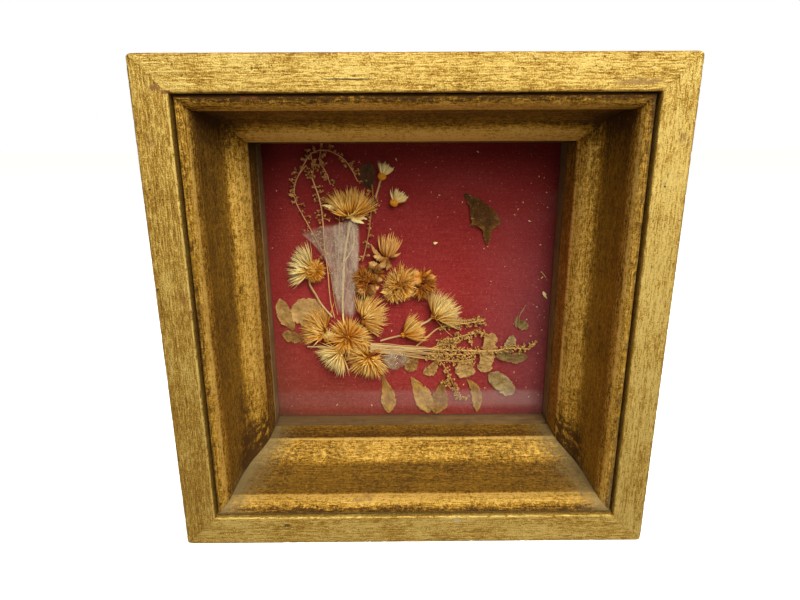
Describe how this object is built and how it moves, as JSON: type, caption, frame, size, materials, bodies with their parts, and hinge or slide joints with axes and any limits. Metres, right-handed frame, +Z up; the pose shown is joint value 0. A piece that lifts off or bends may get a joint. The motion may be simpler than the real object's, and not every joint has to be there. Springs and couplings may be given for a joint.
{
  "type": "dried flower shadow box",
  "caption": "Deep square gilt frame with a coved liner, glazed in front of a red cloth panel that holds dried flower heads, seed sprays and leaves.",
  "frame": {"origin": "middle of the underside of the frame, halfway through its depth with the hanger", "axes": "+X to the viewer's right, +Y into the wall, +Z up; the glazed front faces -Y"},
  "size_m": [0.203, 0.0698, 0.203],
  "materials": {
    "gilt_rim": "worn gold leaf over red-brown ground, brushed grain along each rail",
    "gilt_liner": "worn gold leaf, darkened in the cove",
    "spacer_wood": "bare brown wood, dusty",
    "glass": "clear, slightly dusty",
    "red_cloth": "fine matte weave",
    "backing": "hardboard",
    "steel": "dull",
    "straw_flower": "dry, papery, orange at the base",
    "pale_flower": "dry, papery, pale tips",
    "rust_flower": "dry, papery, rust brown",
    "seed_spray": "dry stems and seeds",
    "pale_stem": "dry pale stems",
    "tan_leaf": "dry leaf, brown and brittle",
    "olive_leaf": "dry leaf, grey green",
    "dark_leaf": "pressed leaf, nearly black",
    "dried_glue": "clear dried glue, clouded"
  },
  "bodies": {
    "root": {"outer_rail_top": "gilt_rim", "outer_rail_bottom": "gilt_rim", "outer_rail_left": "gilt_rim", "outer_rail_right": "gilt_rim", "liner_rail_top": "gilt_liner", "liner_rail_bottom": "gilt_liner", "liner_rail_left": "gilt_liner", "liner_rail_right": "gilt_liner", "spacer_top": "spacer_wood", "spacer_bottom": "spacer_wood", "spacer_left": "spacer_wood", "spacer_right": "spacer_wood", "glass_pane": "glass", "cloth_facing": "red_cloth", "backing_board": "backing", "brad_top": "steel", "brad_bottom": "steel", "brad_left": "steel", "brad_right": "steel", "corner_nail_top_left": "steel", "corner_nail_top_right": "steel", "corner_nail_bottom_left": "steel", "corner_nail_bottom_right": "steel", "sawtooth_hanger": "steel", "hanger_nail_left": "steel", "hanger_nail_right": "steel", "pressed_leaf_dark": "dark_leaf", "leaf_at_wall": "tan_leaf", "leaf_behind_left": "tan_leaf", "leaf_low_left": "tan_leaf", "leaf_pointed": "tan_leaf", "leaf_drop_left": "tan_leaf", "leaf_drop_right": "tan_leaf", "leaf_curved": "tan_leaf", "leaf_grey_green": "olive_leaf", "leaf_fragment": "tan_leaf", "spray_left": "seed_spray", "spray_inner": "seed_spray", "spray_right_of_fan": "seed_spray", "stems_under_film": "pale_stem", "sprig_long": "seed_spray", "sprig_short": "seed_spray", "glue_film": "dried_glue", "glue_lump": "dried_glue", "head_bottom": "straw_flower", "head_pale_low": "pale_flower", "head_left": "straw_flower", "head_centre": "straw_flower", "head_mid": "straw_flower", "head_pale_left": "pale_flower", "head_top_fan": "straw_flower", "head_bell": "rust_flower", "head_brown_tuft": "rust_flower", "head_frilly": "straw_flower", "head_brown_right": "rust_flower", "head_small_right": "straw_flower", "head_pale_right": "pale_flower", "bud_upper": "pale_flower", "bud_right": "pale_flower", "bud_low_left": "pale_flower"}
  },
  "joints": []
}
